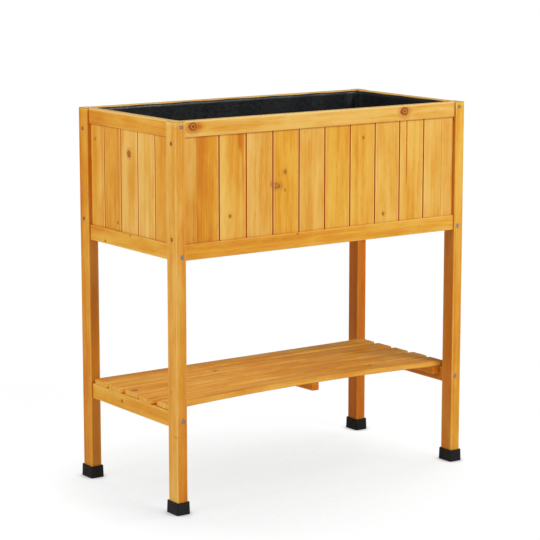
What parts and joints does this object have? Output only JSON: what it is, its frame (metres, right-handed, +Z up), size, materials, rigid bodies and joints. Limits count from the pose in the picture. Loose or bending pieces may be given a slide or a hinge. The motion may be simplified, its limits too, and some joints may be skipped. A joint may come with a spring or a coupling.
{
  "type": "elevated planter",
  "caption": "Waist-high timber trough on four straight legs with foot caps, boarded walls, a film liner and an open slatted shelf between the legs.",
  "frame": {"origin": "on the floor, under the middle of the trough", "axes": "+Z up; +X to the right along the long front; +Y from the front to the back"},
  "size_m": [0.7888, 0.4038, 0.84],
  "materials": {
    "frame_wood": "planed softwood, honey-coloured glaze, satin",
    "board_wood": "planed softwood, honey-coloured glaze, satin",
    "shelf_wood": "planed softwood, honey-coloured glaze, satin",
    "raw_wood": "planed softwood, bare, matt",
    "cap_rubber": "moulded, satin",
    "liner_film": "thin film, soft sheen",
    "zinc_steel": "zinc plated"
  },
  "bodies": {
    "root": {"leg_front_left": "frame_wood", "leg_front_right": "frame_wood", "leg_back_left": "frame_wood", "leg_back_right": "frame_wood", "foot_cap_front_left": "cap_rubber", "foot_cap_front_right": "cap_rubber", "foot_cap_back_left": "cap_rubber", "foot_cap_back_right": "cap_rubber", "front_bottom_rail": "frame_wood", "front_top_rail": "frame_wood", "front_left_stile": "frame_wood", "front_right_stile": "frame_wood", "front_board_1": "board_wood", "front_board_2": "board_wood", "front_board_3": "board_wood", "front_board_4": "board_wood", "front_board_5": "board_wood", "front_board_6": "board_wood", "front_board_7": "board_wood", "front_board_8": "board_wood", "front_board_9": "board_wood", "front_board_10": "board_wood", "back_bottom_rail": "frame_wood", "back_top_rail": "frame_wood", "back_right_stile": "frame_wood", "back_left_stile": "frame_wood", "back_boards": "board_wood", "left_bottom_rail": "frame_wood", "left_top_rail": "frame_wood", "left_board_1": "board_wood", "left_board_2": "board_wood", "left_board_3": "board_wood", "left_board_4": "board_wood", "left_board_5": "board_wood", "right_bottom_rail": "frame_wood", "right_top_rail": "frame_wood", "right_boards": "board_wood", "floor_ledger_front": "raw_wood", "floor_ledger_back": "raw_wood", "floor_board_1": "raw_wood", "floor_board_2": "raw_wood", "floor_board_3": "raw_wood", "floor_board_4": "raw_wood", "floor_board_5": "raw_wood", "floor_board_6": "raw_wood", "liner": "liner_film", "shelf_rail_left": "frame_wood", "shelf_rail_right": "frame_wood", "shelf_slat_1": "shelf_wood", "shelf_slat_2": "shelf_wood", "shelf_slat_3": "shelf_wood", "shelf_slat_4": "shelf_wood", "shelf_slat_5": "shelf_wood", "shelf_batten_left": "shelf_wood", "shelf_batten_middle": "shelf_wood", "shelf_batten_right": "shelf_wood"}
  },
  "joints": []
}
